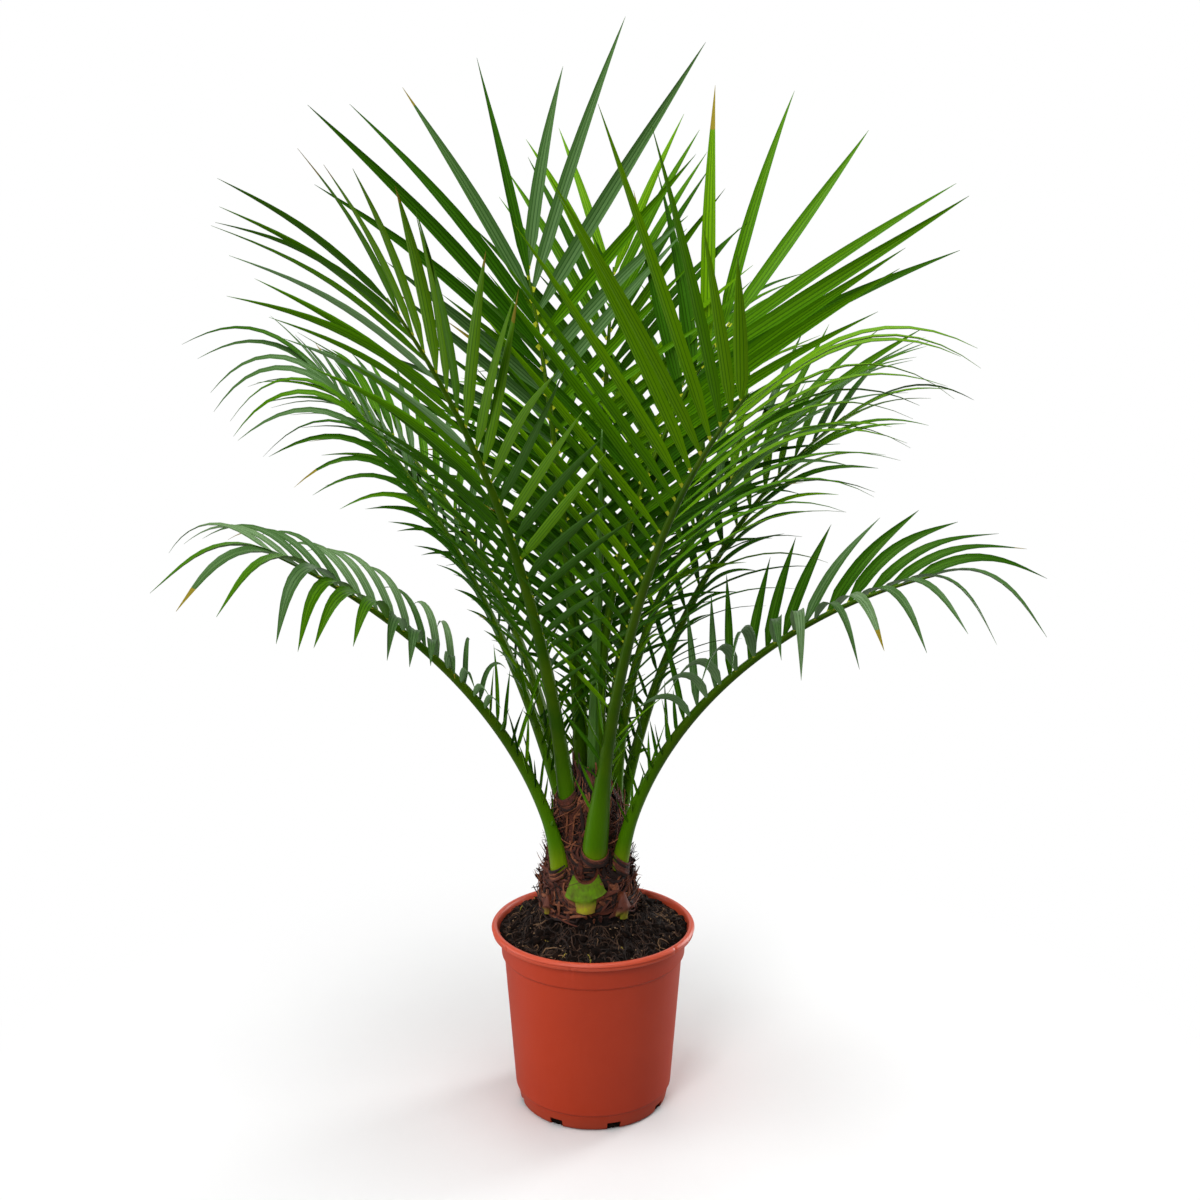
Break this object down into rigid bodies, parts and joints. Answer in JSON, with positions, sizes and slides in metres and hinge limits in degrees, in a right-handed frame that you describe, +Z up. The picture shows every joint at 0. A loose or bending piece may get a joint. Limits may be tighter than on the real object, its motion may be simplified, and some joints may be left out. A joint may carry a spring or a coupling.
{
  "type": "potted pygmy date palm",
  "caption": "Young feather palm with arching pinnate fronds and a fibrous trunk, growing in a round tapered plastic nursery pot filled with soil.",
  "frame": {"origin": "centre of the pot's flat underside, at floor level", "axes": "+Z up along the trunk, -Y the front of the plant, +X to its right seen from the front"},
  "size_m": [1.0085, 0.9927, 1.2414],
  "materials": {
    "pot": "satin",
    "soil": "matte",
    "fibre": "matte",
    "boot": "matte",
    "stalk": "satin",
    "leaf": "satin"
  },
  "bodies": {
    "root": {"boot_back_left": "boot", "boot_back_right": "boot", "boot_front": "boot", "boot_left": "boot", "boot_right": "boot", "frond_back_left_low_blade": "leaf", "frond_back_left_low_stalk": "stalk", "frond_back_left_tall_blade": "leaf", "frond_back_left_tall_stalk": "stalk", "frond_back_low_blade": "leaf", "frond_back_low_stalk": "stalk", "frond_back_right_low_blade": "leaf", "frond_back_right_low_stalk": "stalk", "frond_back_right_mid_blade": "leaf", "frond_back_right_mid_stalk": "stalk", "frond_back_right_tall_blade": "leaf", "frond_back_right_tall_blade_2": "leaf", "frond_back_right_tall_stalk": "stalk", "frond_back_tall_blade": "leaf", "frond_back_tall_blade_2": "leaf", "frond_back_tall_stalk": "stalk", "frond_left_front_blade": "leaf", "frond_left_front_stalk": "stalk", "frond_left_low_blade_inner": "leaf", "frond_left_low_blade_outer": "leaf", "frond_left_low_stalk": "stalk", "frond_left_outer_blade": "leaf", "frond_left_outer_stalk": "stalk", "frond_right_front_blade": "leaf", "frond_right_front_stalk": "stalk", "frond_right_low_blade_inner": "leaf", "frond_right_low_blade_outer": "leaf", "frond_right_low_stalk": "stalk", "frond_right_mid_blade": "leaf", "frond_right_mid_stalk": "stalk", "pot": "pot", "soil": "soil", "spear_leaf": "stalk", "trunk": "fibre"}
  },
  "joints": []
}
